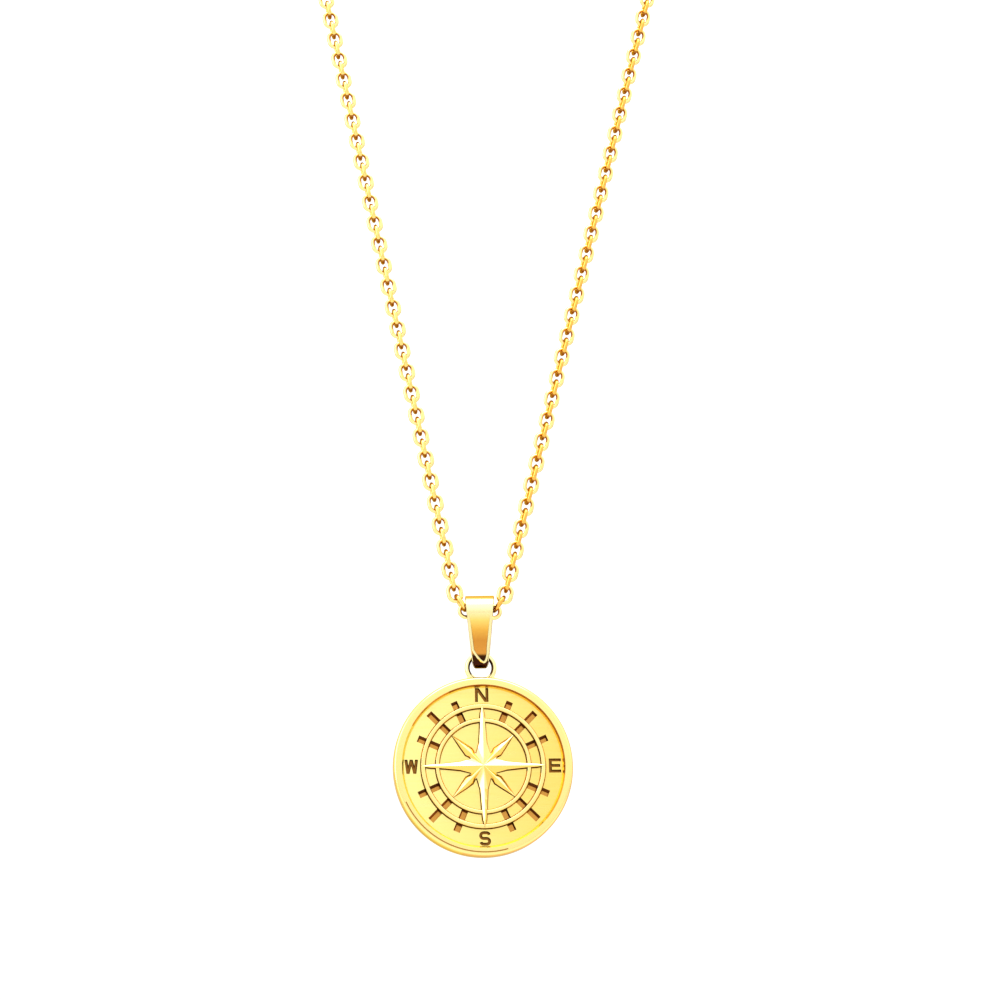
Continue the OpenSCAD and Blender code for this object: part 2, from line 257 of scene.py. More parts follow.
def polar(r, angle):
    return Vector((r * math.cos(math.radians(angle)), r * math.sin(math.radians(angle))))


def arc(centre, r, start, end, steps):
    return [Vector(centre) + polar(r, start + (end - start) * i / steps) for i in range(steps + 1)]


# Turns a half section of rows (radius, height, material of the band after it) about Z.
# A material can be a function of the angle about Z. An open section gets flat caps
def lathe(name, rows, materials, segments=COIN_SEGMENTS, closed=False):
    verts = []
    for r, z, _ in rows:
        verts += [(*polar(r, 360 * i / segments), z) for i in range(segments)]
    faces = []
    kinds = []
    for k in range(len(rows) if closed else len(rows) - 1):
        a = k * segments
        b = (k + 1) % len(rows) * segments
        for i in range(segments):
            j = (i + 1) % segments
            faces.append((a + i, a + j, b + j, b + i))
            kind = rows[k][2]
            kinds.append(kind(360 * (i + 0.5) / segments) if callable(kind) else kind)
    if not closed:
        last = (len(rows) - 1) * segments
        faces.append(tuple(range(segments - 1, -1, -1)))
        kinds.append(rows[0][2])
        faces.append(tuple(last + i for i in range(segments)))
        kinds.append(rows[-1][2])
    return new_object(name, verts, faces, materials, kinds)


def signed_area(outline):
    return sum(a[0] * b[1] - b[0] * a[1] for a, b in zip(outline, outline[1:] + outline[:1])) / 2


# A solid between flat outlines with as many points, each at its height: (outline, height), lowest first
def stack(name, levels, kind):
    if signed_area(levels[0][0]) < 0:
        levels = [(outline[::-1], z) for outline, z in levels]
    n = len(levels[0][0])
    verts = [(p[0], p[1], z) for outline, z in levels for p in outline]
    top = (len(levels) - 1) * n
    faces = [tuple(range(n - 1, -1, -1)), tuple(range(top, top + n))]
    for a in range(0, top, n):
        for i in range(n):
            j = (i + 1) % n
            faces.append((a + i, a + j, a + n + j, a + n + i))
    return new_object(name, verts, faces, METALS, [kind] * len(faces))


def prism(name, outline, low, high, kind):
    return stack(name, [(outline, low), (outline, high)], kind)


def crossing(a, b, c, d):
    ab = b - a
    cd = d - c
    share = (c - a).cross(cd) / ab.cross(cd)
    return a + ab * share


# A counter-clockwise outline with each edge moved inwards by shift(outward direction of the edge)
def inset(outline, shift):
    lines = []
    for a, b in zip(outline, outline[1:] + outline[:1]):
        along_edge = (b - a).normalized()
        out = Vector((along_edge.y, -along_edge.x))
        move = -shift(out) * out
        lines.append((a + move, b + move))
    return [crossing(*lines[i - 1], *lines[i]) for i in range(len(lines))]


# Applies one Boolean with each of the tools, which are then deleted
def boolean(obj, tools, operation):
    for tool in tools:
        step = obj.modifiers.new("step", "BOOLEAN")
        step.operation = operation
        step.solver = "EXACT"
        step.material_mode = "TRANSFER"
        step.object = tool
    graph = bpy.context.evaluated_depsgraph_get()
    mesh = bpy.data.meshes.new_from_object(obj.evaluated_get(graph))
    obj.modifiers.clear()
    obj.data = mesh
    for tool in tools:
        bpy.data.objects.remove(tool)


# Turns a piece drawn in millimetres into a mesh in metres at its place, and ties it to the frame
def place(obj, matrix, centre, body, nodes, sharp=SHARP):
    obj.data.transform(Matrix.Scale(MM, 4) @ matrix)
    obj.location = centre
    obj.data.shade_smooth()
    obj.data.set_sharp_from_angle(angle=math.radians(sharp))
    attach(obj, body)
    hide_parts(*nodes)
    return obj


# Colour of what the metal reflects at a glancing angle
EDGE_TINT = (0.75, 0.60, 0.22)


# Material with a Principled shader. extra(tree, shader, coordinates in millimetres) adds its nodes
def new_material(name, colour, roughness, extra=None):
    material = bpy.data.materials.new(name)
    material.use_nodes = True
    tree = material.node_tree
    shader = tree.nodes["Principled BSDF"]
    shader.inputs["Base Color"].default_value = (*colour, 1)
    shader.inputs["Metallic"].default_value = 1
    shader.inputs["Roughness"].default_value = roughness
    shader.inputs["Specular Tint"].default_value = (*EDGE_TINT, 1)
    if extra:
        coordinates = tree.nodes.new("ShaderNodeTexCoord")
        scale = tree.nodes.new("ShaderNodeVectorMath")
        scale.operation = "SCALE"
        scale.inputs["Scale"].default_value = 1 / MM
        tree.links.new(coordinates.outputs["Object"], scale.inputs[0])
        extra(tree, shader, scale.outputs[0])
    return material


def noise(tree, coordinates, size, stretch=(1, 1, 1), detail=3):
    mapping = tree.nodes.new("ShaderNodeMapping")
    mapping.inputs["Scale"].default_value = [1 / (size * s) for s in stretch]
    tree.links.new(coordinates, mapping.inputs["Vector"])
    node = tree.nodes.new("ShaderNodeTexNoise")
    node.inputs["Scale"].default_value = 1
    node.inputs["Detail"].default_value = detail
    tree.links.new(mapping.outputs[0], node.inputs["Vector"])
    return node.outputs["Fac"]


def spread(tree, value, low, high):
    node = tree.nodes.new("ShaderNodeMapRange")
    node.inputs["From Min"].default_value = 0.3
    node.inputs["From Max"].default_value = 0.7
    node.inputs["To Min"].default_value = low
    node.inputs["To Max"].default_value = high
    tree.links.new(value, node.inputs["Value"])
    return node.outputs[0]


# Each of a and b is a colour or the output of a node
def mix_colour(tree, factor, a, b):
    node = tree.nodes.new("ShaderNodeMix")
    node.data_type = "RGBA"
    for name, value in (("A", a), ("B", b)):
        if isinstance(value, tuple):
            node.inputs[name].default_value = (*value, 1)
        else:
            tree.links.new(value, node.inputs[name])
    tree.links.new(factor, node.inputs["Factor"])
    return node.outputs["Result"]


def ramp_colour(tree, factor, stops):
    node = tree.nodes.new("ShaderNodeValToRGB")
    elements = node.color_ramp.elements
    elements[0].position, colour = stops[0]
    elements[0].color = (*colour, 1)
    elements[1].position, colour = stops[-1]
    elements[1].color = (*colour, 1)
    for position, colour in stops[1:-1]:
        elements.new(position).color = (*colour, 1)
    tree.links.new(factor, node.inputs["Fac"])
    return node.outputs["Color"]


def bump(tree, shader, height, strength, distance):
    node = tree.nodes.new("ShaderNodeBump")
    node.inputs["Strength"].default_value = strength
    node.inputs["Distance"].default_value = distance * MM
    tree.links.new(height, node.inputs["Height"])
    tree.links.new(node.outputs[0], shader.inputs["Normal"])


# Golds of the metal. GOLD is its own colour; the others stand for painted light and shade: PALE_GOLD a
# painted highlight, the deeper golds, oranges and browns painted shade on faces turned from the light,
# in cuts, at the coin's side and under the bail
PALE_GOLD = (1.0, 0.87, 0.42)
GOLD = (1.0, 0.80, 0.29)
FULL_GOLD = (1.0, 0.66, 0.15)
AMBER = (0.80, 0.38, 0.07)
BROWN = (0.40, 0.17, 0.03)
DARK_BROWN = (0.10, 0.04, 0.01)
CUT_BROWN = (0.62, 0.30, 0.06)
SIDE_ORANGE = (0.93, 0.52, 0.16)
UNDER_BROWN = (0.045, 0.012, 0.006)
LETTER_BROWN = (0.26, 0.11, 0.02)


# Polished metal: soft unevenness and hairline scratches
def polished(tree, shader, coordinates):
    patches = noise(tree, coordinates, size=1.6)
    hairlines = noise(tree, coordinates, size=0.05, stretch=(14, 1, 1), detail=2)
    tree.links.new(spread(tree, patches, low=0.1, high=0.2), shader.inputs["Roughness"])
    bump(tree, shader, hairlines, strength=0.04, distance=0.01)


# One coordinate as a share of the way between two values
def along(tree, coordinates, axis, low, high):
    split = tree.nodes.new("ShaderNodeSeparateXYZ")
    tree.links.new(coordinates, split.inputs[0])
    node = tree.nodes.new("ShaderNodeMapRange")
    node.inputs["From Min"].default_value = low
    node.inputs["From Max"].default_value = high
    tree.links.new(split.outputs[axis], node.inputs["Value"])
    return node.outputs[0]


# Gold of the field's light and dark streaks, each at the -X side and at the +X side: the field is
# painted paler towards -X, as painted light from the left
LIGHT_STREAKS_AND_SIDE_LIGHT = ((1.0, 0.89, 0.36), (0.98, 0.74, 0.20))
DARK_STREAKS_AND_SIDE_LIGHT = ((0.98, 0.80, 0.25), (0.93, 0.62, 0.13))
FIELD_SPAN = (-8, 8)


# Brushed metal: fine level scratches and broader streaks, with painted light that fades to deeper gold
# towards +X
def brushed_and_painted_light(tree, shader, coordinates):
    streaks = noise(tree, coordinates, size=0.07, stretch=(30, 30, 1), detail=3)
    broad = noise(tree, coordinates, size=0.35, stretch=(12, 12, 1), detail=2)
    tree.links.new(spread(tree, broad, low=0.26, high=0.4), shader.inputs["Roughness"])
    side = along(tree, coordinates, "X", *FIELD_SPAN)
    pale = mix_colour(tree, side, *LIGHT_STREAKS_AND_SIDE_LIGHT)
    deep = mix_colour(tree, side, *DARK_STREAKS_AND_SIDE_LIGHT)
    tree.links.new(mix_colour(tree, broad, pale, deep), shader.inputs["Base Color"])
    bump(tree, shader, streaks, strength=0.35, distance=0.02)


# Front of the bail, painted light and shade by height: an orange band of painted shade at the very top,
# a cream painted highlight below it, and painted shade deepening towards a dark tip
def shaded_panel(tree, shader, coordinates):
    height = along(tree, coordinates, "Z", *PANEL_SPAN)
    tree.links.new(ramp_colour(tree, height, PANEL_STOPS), shader.inputs["Base Color"])


# Metal in a cut or on a wall of the relief: a fine grain
def rough_cut(tree, shader, coordinates):
    grain = noise(tree, coordinates, size=0.12)
    tree.links.new(spread(tree, grain, low=0.3, high=0.5), shader.inputs["Roughness"])
    bump(tree, shader, grain, strength=0.3, distance=0.02)


# Heights of the ends of the bail's painted light-and-shade gradient, and its stops between them
PANEL_SPAN = (-6.2, 1.8)
PANEL_STOPS = (
    (0.0, (0.03, 0.01, 0.004)),
    (0.115, (0.05, 0.016, 0.005)),
    (0.15, (0.76, 0.33, 0.055)),
    (0.33, (0.70, 0.30, 0.045)),
    (0.48, (0.90, 0.48, 0.075)),
    (0.61, (1.0, 0.74, 0.18)),
    (0.71, (1.0, 0.90, 0.44)),
    (0.78, (1.0, 0.92, 0.52)),
    (0.90, PALE_GOLD),
    (0.94, (0.62, 0.36, 0.09)),
    (1.0, (0.70, 0.45, 0.14)))

METALS = (
    new_material("brushed_gold_painted_light", GOLD, 0.33, brushed_and_painted_light),
    new_material("polished_gold", GOLD, 0.14, polished),
    new_material("pale_gold", PALE_GOLD, 0.14, polished),
    new_material("full_gold", FULL_GOLD, 0.14, polished),
    new_material("amber_gold", AMBER, 0.3, rough_cut),
    new_material("brown_gold", BROWN, 0.4, rough_cut),
    new_material("dark_gold", DARK_BROWN, 0.35, rough_cut),
    new_material("shaded_gold", FULL_GOLD, 0.2, shaded_panel),
    new_material("floor_gold", CUT_BROWN, 0.4, rough_cut),
    new_material("side_gold", SIDE_ORANGE, 0.2, polished),
    new_material("under_gold", UNDER_BROWN, 0.1, polished),
    new_material("letter_gold", LETTER_BROWN, 0.4, rough_cut))
FIELD, POLISHED, PALE, FULL, AMBER_WALL, BROWN_WALL = range(6)
DARK_WALL, PANEL, FLOOR, SIDE, UNDER, LETTER = range(6, 12)

# The direction in the plane of the dial from which painted light falls on the relief: what faces away is
# painted darker gold, as shade
LIT_FROM = polar(1, 55)
# A wall is painted dark below the first share of painted light, brown up to the second and amber above
# it
WALL_DARK = -0.45
WALL_LIT = 0.62
# Limits of the painted shade on the rim's inner slope, by how much it faces the painted light
COVE_DARK = -0.5
COVE_LIT = 0.1
# A flank is painted pale gold as highlight or full gold as shade where it faces towards or away from
# this direction by more than the limit
FLANK_FROM = Vector((-0.1, 1))
FLANK_LIMIT = 0.08
# A face is a wall where its normal's height is below these, and level where its slope is below the last
WALL_HEIGHT = 0.6
CUT_WALL_HEIGHT = 0.9
LEVEL_SLOPE = 0.1
# Angles on the dial between which the rim's line is painted dark, and beyond which the coin's side is
# painted orange, both as shade
LINE_DARK = (205, 285)
SIDE_DEEP = (60, 255)


# Painted shade for a steep face, by the direction that it faces in the plane of the dial
def wall_tone(facing):
    lit = facing.normalized().dot(LIT_FROM)
    if lit < WALL_DARK:
        return DARK_WALL
    return BROWN_WALL if lit < WALL_LIT else AMBER_WALL


# Painted highlight or shade for a gently sloped face
def flank_tone(facing):
    lift = facing.dot(FLANK_FROM)
    if lift > FLANK_LIMIT:
        return PALE
    return FULL if lift < -FLANK_LIMIT else POLISHED


# Paints light and shade into a relief form: each face gets a lighter or darker gold by the way it faces.
# Cuts are seen from inside
def tone(obj, inside=False):
    wall_height = CUT_WALL_HEIGHT if inside else WALL_HEIGHT
    for face in obj.data.polygons:
        facing = Vector(face.normal[:2])
        if abs(face.normal.z) < wall_height:
            face.material_index = wall_tone(-facing if inside else facing)
        elif facing.length > LEVEL_SLOPE and not inside:
            face.material_index = flank_tone(facing)
    return obj


# Painted shade of the rim's inner slope at an angle on the dial: brown or amber where it faces away from
# the painted light, field gold where it faces it
def cove_tone(angle):
    lit = -polar(1, angle).dot(LIT_FROM)
    if lit < COVE_DARK:
        return BROWN_WALL
    return AMBER_WALL if lit < COVE_LIT else FIELD


# Edge of the rim's flat top at an angle on the dial: a painted dark line of shade from the lower left to
# the bottom
def line_tone(angle):
    return BROWN_WALL if LINE_DARK[0] < angle < LINE_DARK[1] else POLISHED


# Side of the coin at an angle on the dial: painted shade, deeper gold on the right and below
def side_tone(angle):
    return SIDE if angle < SIDE_DEEP[0] or angle > SIDE_DEEP[1] else FULL


# Coin: flat back, rounded side, the rim and its hollow inner slope. The back's rounding, the side, the
# rim's line and the steep part of the inner slope get painted shade
def coin_body():
    top = COIN_T / 2
    rows = [(COIN_R - BACK_ROUND - EDGE_BAND, -top, FIELD)]
    back_edge = arc((COIN_R - BACK_ROUND, BACK_ROUND - top), BACK_ROUND, -90, 0, BACK_STEPS)
    rows += [(*p, FULL) for p in back_edge]
    rows.append((COIN_R, BACK_ROUND - top + EDGE_BAND, side_tone))
    rows.append((COIN_R, top - RIM_ROUND - EDGE_BAND, side_tone))
    rim_edge = arc((COIN_R - RIM_ROUND, top - RIM_ROUND), RIM_ROUND, 0, RIM_SWEEP, RIM_STEPS)
    rows += [(*p, side_tone if i < RIM_STEPS / 2 else POLISHED) for i, p in enumerate(rim_edge)]
    rows[-1] = (LINE_R, top - HAIR, line_tone)
    rows += [(LINE_R - LINE_W, top, POLISHED), (COIN_R - RIM_W + COVE_LIP, top, cove_tone)]
    for i in range(COVE_STEPS + 1):
        sweep = math.sin(math.radians(90 * i / COVE_STEPS))
        height = FIELD_Z + FIELD_DEPTH * (1 - sweep) ** COVE_POWER
        rows.append((COIN_R - RIM_W - RIM_SLOPE * sweep, height, cove_tone if i < COVE_STEEP else FIELD))
    return lathe("medallion", rows, METALS)


# Raised ring with drafted walls and bevelled edges, with painted light and shade on its faces by the way
# they face. Its foot goes down past the ticks that it crosses
def raised_ring(r_out, w):
    shoulder = FIELD_Z + RING_H - RING_BEVEL
    low = FIELD_Z - HAIR
    foot = FIELD_Z - CUT_DEPTH - BURY
    rows = [(r_out + RING_DRAFT, foot), (r_out + RING_DRAFT, low), (r_out, shoulder)]
    rows += arc((r_out - RING_BEVEL, shoulder), RING_BEVEL, RING_ARC, 90, RING_ARC_STEPS)
    rows += arc((r_out - w + RING_BEVEL, shoulder), RING_BEVEL, 90, 180 - RING_ARC, RING_ARC_STEPS)
    rows += [(r_out - w, shoulder), (r_out - w - RING_DRAFT, low), (r_out - w - RING_DRAFT, foot)]
    return tone(lathe("ring", [(*p, POLISHED) for p in rows], METALS, closed=True))


# A sunken bar from one radius to another, turned to its angle. Its upper walls slope inwards. Its floor
# is painted orange-brown and its walls darker by the way they face, as shade in the cut
def tick(start, end, angle):
    half = TICK_W / 2
    turned = Matrix.Rotation(math.radians(angle), 2)
    outline = [turned @ Vector(p) for p in ((start, -half), (end, -half), (end, half), (start, half))]
    bottom = inset(outline, lambda out: TICK_DRAFT + TICK_SLOPE * max(0, out.y))
    levels = [(bottom, FIELD_Z - CUT_DEPTH), (outline, FIELD_Z), (outline, FIELD_Z + BURY)]
    return tone(stack("tick", levels, FLOOR), inside=True)


# Three ticks in each quarter, each in two parts: outside the outer ring and between the rings
def ticks():
    (outer, outer_w), (inner, _) = RINGS
    made = []
    for quarter in range(0, 360, 90):
        for side in (-1, 0, 1):
            angle = quarter + 45 + side * TICK_STEP
            made.append(tick(outer - BURY, outer + (TICK_SHORT if side else TICK_LONG), angle))
            made.append(tick(inner - BURY, outer - outer_w + BURY, angle))
    return made


def mirrored(points):
    return [Vector((-p[0], p[1])) for p in reversed(points)]


def outline_n():
    x = N_HALF * LETTER_H
    y = LETTER_H / 2
    s = LETTER_STROKE
    slant = N_SLANT * s
    meet = y - 2 * y * s / (2 * x - slant)
    half = [Vector(p) for p in ((-x, y), (-x, -y), (s - x, -y), (s - x, meet), (x - slant, -y))]
    return half + [-p for p in half]


def outline_e():
    x = E_HALF * LETTER_H
    y = LETTER_H / 2
    s = LETTER_STROKE
    h = s / 2
    bar = E_BAR * x
    return [Vector(p) for p in (
        (-x, -y), (x, -y), (x, s - y), (s - x, s - y), (s - x, -h), (bar, -h),
        (bar, h), (s - x, h), (s - x, y - s), (x, y - s), (x, y), (-x, y))]


def outline_w():
    x = W_HALF * LETTER_H
    y = LETTER_H / 2
    foot = x / 2
    s = W_STROKE * LETTER_STROKE
    foot_in = Vector((foot - s, -y))
    foot_out = Vector((foot + s, -y))
    top_in = Vector((x - 2 * s, y))
    middle_top = Vector((s, y))
    top_crotch = crossing(top_in, foot_in, foot_out, middle_top)
    foot_crotch = crossing(foot_in, Vector((-s, y)), Vector((s - foot, -y)), middle_top)
    right = [foot_crotch, foot_in, foot_out, Vector((x, y)), top_in, top_crotch, middle_top]
    return right + mirrored(right)[:-1]


# The S is a stroke along two bends with straight bars between them
def outline_s():
    r = (LETTER_H - LETTER_STROKE) / 4
    bar = S_HALF * LETTER_H - r - LETTER_STROKE / 2
    half = arc((bar, r), r, S_END, 90, S_END_STEPS) + arc((-bar, r), r, 90, S_TURN, S_TURN_STEPS)
    line = half + [-p for p in reversed(half)]
    left = []
    right = []
    for i, p in enumerate(line):
        ahead = line[min(i + 1, len(line) - 1)] - line[max(i - 1, 0)]
        side = Vector((-ahead.y, ahead.x)).normalized() * LETTER_STROKE / 2
        left.append(p + side)
        right.append(p - side)
    return left + right[::-1]


# Sunken letters at the four ends of the dial's cross, with sloped walls. Their floors are painted dark
# brown and their walls darker by the way they face, as shade in the cut
def letters():
    made = []
    for outline, place_at in (
            (outline_n(), (0, LETTER_R)), (outline_s(), (0, -LETTER_R)),
            (outline_e(), (LETTER_R, 0)), (outline_w(), (-LETTER_R, 0))):
        points = [p + Vector(place_at) for p in outline]
        if signed_area(points) < 0:
            points.reverse()
        bottom = inset(points, lambda out: LETTER_SLOPE)
        levels = [(bottom, FIELD_Z - CUT_DEPTH), (points, FIELD_Z), (points, FIELD_Z + BURY)]
        made.append(tone(stack("letter", levels, LETTER), inside=True))
    return made


# Eight ridged arms about one centre, with drafted walls down into the field; flanks and walls get
# painted light and shade by the way they face
def star():
    edge = []
    ridges = []
    for arm in range(ARMS):
        rows, reach, tip = SHORT_ARM, SHORT_REACH, SHORT_TIP
        if arm % 2 == 0:
            rows, reach, tip = UPRIGHT_ARM if arm % 4 else LEVEL_ARM, LONG_REACH, LONG_TIP
        turn = Matrix.Rotation(math.radians(ARM_ANGLE * arm), 2)
        hub = ARM_ANGLE * arm - (ARM_ANGLE - HUB_ANGLE if arm % 2 else HUB_ANGLE)
        edge.append((polar(HUB_R, hub), HUB_EDGE))
        edge += [(turn @ Vector((x, -w)) * reach, z) for x, w, z, _ in rows]
        edge.append((turn @ Vector((reach, 0)), tip))
        edge += [(turn @ Vector((x, w)) * reach, z) for x, w, z, _ in reversed(rows)]
        ridges += [(turn @ Vector((x, 0)) * reach, z) for x, _, _, z in rows]
    count = len(edge)
    foot = []
    for i, (p, _) in enumerate(edge):
        ahead = (edge[(i + 1) % count][0] - p).normalized() + (p - edge[i - 1][0]).normalized()
        foot.append(p + STAR_DRAFT * Vector((ahead.y, -ahead.x)).normalized())
    verts = [(*p, FIELD_Z + z * STAR_H) for p, z in edge]
    verts += [(*p, FIELD_Z) for p in foot]
    verts += [(*p, FIELD_Z - BURY) for p in foot]
    verts += [(*p, FIELD_Z + z * STAR_H) for p, z in ridges]
    verts.append((0, 0, FIELD_Z + STAR_H))
    top = len(verts) - 1
    steps = len(SHORT_ARM)
    per_arm = 2 * steps + 2
    faces = [tuple(2 * count + i for i in reversed(range(count)))]
    for i in range(count):
        j = (i + 1) % count
        faces += [(count + i, count + j, j, i), (2 * count + i, 2 * count + j, count + j, count + i)]
    for arm in range(ARMS):
        b = arm * per_arm
        g = 3 * count + arm * steps
        last = b + per_arm - 1
        faces += [(b, b + 1, top), (b + 1, g, top), (last, (last + 1) % count, top), (g, last, top)]
        for i in range(steps - 1):
            faces += [(b + 1 + i, b + 2 + i, g + i), (b + 2 + i, g + i + 1, g + i)]
            faces += [(last - 1 - i, last - i, g + i), (g + i + 1, last - 1 - i, g + i)]
        tip = b + steps + 1
        faces += [(tip - 1, tip, g + steps - 1), (tip, tip + 1, g + steps - 1)]
    return tone(new_object("star", verts, faces, METALS, [POLISHED] * len(faces)))


# Ring on the coin's edge with a foot that fills the notch beside it. The hole's wall is painted dark as
# shade, the foot pale as highlight
def eye_ring():
    rows = []
    for i in range(EYE_SIDES):
        p = polar(EYE_WIRE / 2, 360 * i / EYE_SIDES)
        rows.append((EYE_R + EYE_WIRE / 2 + p.x, p.y, DARK_WALL if i in EYE_INNER else PALE))
    ring = lathe("eye", rows, METALS, EYE_SEGMENTS, closed=True)
    ring.data.transform(Matrix.Translation((0, EYE_ABOVE_COIN, 0)))
    out = EYE_R + EYE_WIRE
    narrow = out - FOOT_TAPER * EYE_WIRE
    low = COIN_R - FOOT_DEPTH * EYE_WIRE
    top = EYE_ABOVE_COIN - FOOT_TOP * EYE_R
    half_t = FOOT_HALF_T * EYE_WIRE
    corners = [Vector(p) for p in ((-out, low), (out, low), (narrow, top), (-narrow, top))]
    foot = prism("foot", corners, -half_t, half_t, PALE)
    centre = Vector((0, EYE_ABOVE_COIN))
    circle = [centre + polar(EYE_R, 360 * i / EYE_SEGMENTS) for i in range(EYE_SEGMENTS)]
    hole = prism("hole", circle, -COIN_T, COIN_T, DARK_WALL)
    return ring, foot, hole


# The coin with its dial and its eye ring as one solid
def medallion():
    coin = coin_body()
    boolean(coin, ticks() + letters(), "DIFFERENCE")
    boolean(coin, [raised_ring(r, w) for r, w in RINGS], "UNION")
    boolean(coin, [star()], "UNION")
    ring, foot, hole = eye_ring()
    boolean(coin, [foot], "UNION")
    boolean(coin, [ring], "UNION")
    boolean(coin, [hole], "DIFFERENCE")
    return place(coin, STAND_UP, COIN, "medallion", ["medallion"])


# Half width of the bail's strip at a height
def strip_half(z):
    z0, w0 = FOLD_OUT, BAIL_TOP_W / 2
    z1, w1 = -SHOULDER_SHARE * BAIL_DROP, BAIL_SHOULDER_W / 2
    z2, w2 = -BAIL_DROP, BAIL_BEND_W / 2
    if z > z1:
        return w1 + (w0 - w1) * (z - z1) / (z0 - z1)
    if z > z2:
        return w2 + (w1 - w2) * (z - z2) / (z1 - z2)
    return w2 * (1 - UNDER_TAPER * ((z2 - z) / BEND_OUT) ** 2)


# The strip as a closed loop: rings across it, round the fold, down the back, round the bend and up
def bail_strip():
    fold = [
        (0, FOLD_OUT, -LEAF_LEAN + (180 + 2 * LEAF_LEAN) * i / FOLD_STEPS)
        for i in range(FOLD_STEPS + 1)]
    bend = [
        (-BAIL_DROP, BEND_OUT, 180 + LEAF_LEAN + (180 - 2 * LEAF_LEAN) * i / BEND_STEPS)
        for i in range(BEND_STEPS + 1)]

    def between(start, end):
        return [
            tuple(a + (b - a) * i / LEAF_STEPS for a, b in zip(start, end))
            for i in range(1, LEAF_STEPS)]
    back = between(fold[-1], bend[0])
    front = between(bend[-1], (0, FOLD_OUT, 360 - LEAF_LEAN))
    stations = fold + back + bend + front
    verts = []
    kinds = []
    for centre, r, angle in stations:
        out = Vector((0, -math.cos(math.radians(angle)), math.sin(math.radians(angle))))
        middle = Vector((0, 0, centre))
        for depth, cut in ((0, 1), (BAIL_BEVEL, 0), (BAIL_T - BAIL_BEVEL, 0), (BAIL_T, 1)):
            p = middle + (r - depth) * out
            half = strip_half(p.z) - cut * BAIL_BEVEL
            verts += [Vector((-half, p.y, p.z)), Vector((half, p.y, p.z))]
        # Painted light and shade: the underside near black as a dark reflection, the bevels pale as
        # highlight and the inside of the loop brown
        under = out.z < UNDER_LIMIT
        face = UNDER if under else PANEL if out.y < FRONT_LIMIT else POLISHED
        edge = UNDER if under else PALE
        side = UNDER if under else POLISHED
        kinds += [face, edge, side, BROWN_WALL, BROWN_WALL, BROWN_WALL, side, edge]
    # Order of the eight points round one ring: the outer face first, then down the +X side
    order = (0, 1, 3, 5, 7, 6, 4, 2)
    faces = []
    count = len(stations)
    for i in range(count):
        a = 8 * i
        b = 8 * ((i + 1) % count)
        for k in range(8):
            here, there = order[k], order[(k + 1) % 8]
            faces.append((a + here, a + there, b + there, b + here))
    return new_object("bail", verts, faces, METALS, kinds)


# Lifts a flat form by a share of its distance along Y
def shear(obj, share):
    obj.data.transform(Matrix(((1, 0, 0, 0), (0, 1, 0, 0), (0, share, 1, 0), (0, 0, 0, 1))))


# Raised tongue on the front leaf, with a sunken panel that gets deeper towards the rounded tip. The
# tongue is painted pale as highlight, the panel's walls dark as shade and its floor with the painted
# gradient
def bail():
    strip = bail_strip()
    right = [Vector((w, z)) for z, w in TONGUE]
    w, z = right[-1]
    tip = []
    for i in range(1, TIP_STEPS):
        turn = math.radians(180 * i / TIP_STEPS)
        share = math.sin(turn) + TIP_LEAN * math.sin(2 * turn)
        tip.append(Vector((w * math.cos(turn), z + (TONGUE_TIP - z) * share)))
    outline = right + tip + mirrored(right)
    if signed_area(outline) < 0:
        outline.reverse()
    top_line = inset(outline, lambda out: BAIL_BEVEL)
    plate = stack("tongue", [(outline, -TONGUE_FOOT), (outline, -BAIL_BEVEL), (top_line, 0)], PALE)
    shear(plate, TONGUE_RISE / TONGUE_TIP)
    panel = inset(outline, lambda out: TONGUE_RIM)
    floor_line = inset(outline, lambda out: TONGUE_RIM + PANEL_DRAFT)
    cut = stack("panel", [(floor_line, 0), (panel, PANEL_DRAFT_H), (panel, PANEL_CUT)], DARK_WALL)
    cut.data.polygons[0].material_index = PANEL
    shear(cut, (TONGUE_RISE - PANEL_DEPTH) / TONGUE_TIP)
    lean = math.radians(LEAF_LEAN)
    leaf = Matrix.Translation((0, -FOLD_OUT * math.cos(lean), -FOLD_OUT * math.sin(lean)))
    leaf = leaf @ turn_by(90 + LEAF_LEAN, "X")
    plate.data.transform(leaf)
    cut.data.transform(leaf)
    boolean(strip, [plate], "UNION")
    boolean(strip, [cut], "DIFFERENCE")
    return place(strip, BAIL_PLACE, PIVOT, "bail", ["bail"])


def direction(tilt):
    return Vector((math.sin(math.radians(tilt)), math.cos(math.radians(tilt))))


def next_link(flat, edge):
    return END_OFF * direction(flat) + (PITCH - END_OFF) * direction(edge)


# Golds of the links, painted light and shade: pale outsides, deeper insides, orange sides and dark
# hooked ends
CHAIN_METALS = (
    new_material("chain_pale", (0.95, 0.80, 0.34), 0.12, polished),
    new_material("chain_inner", (0.98, 0.70, 0.22), 0.2, polished),
    new_material("chain_side", (0.92, 0.50, 0.10), 0.16, polished),
    new_material("chain_hook", (0.42, 0.17, 0.03), 0.25, polished))
CHAIN_PALE, CHAIN_INNER, CHAIN_SIDE, CHAIN_HOOK = range(4)


# One link about its middle along Z, its loop in the XZ plane: rings of points round the wire
def link_rings():
    rings = []
    for end in (1, -1):
        for i in range(LINK_STEPS + 1):
            out = Vector((*polar(1, 90 * (1 - end) + 180 * i / LINK_STEPS), 0)).xzy
            centre = Vector((0, 0, end * END_OFF)) + out * END_R
            rings.append([
                centre + WIRE_R * (math.cos(a) * out + math.sin(a) * Vector((0, 1, 0)))
                for a in (2 * math.pi * k / WIRE_SIDES for k in range(WIRE_SIDES))])
    return rings


LINK_RINGS = link_rings()


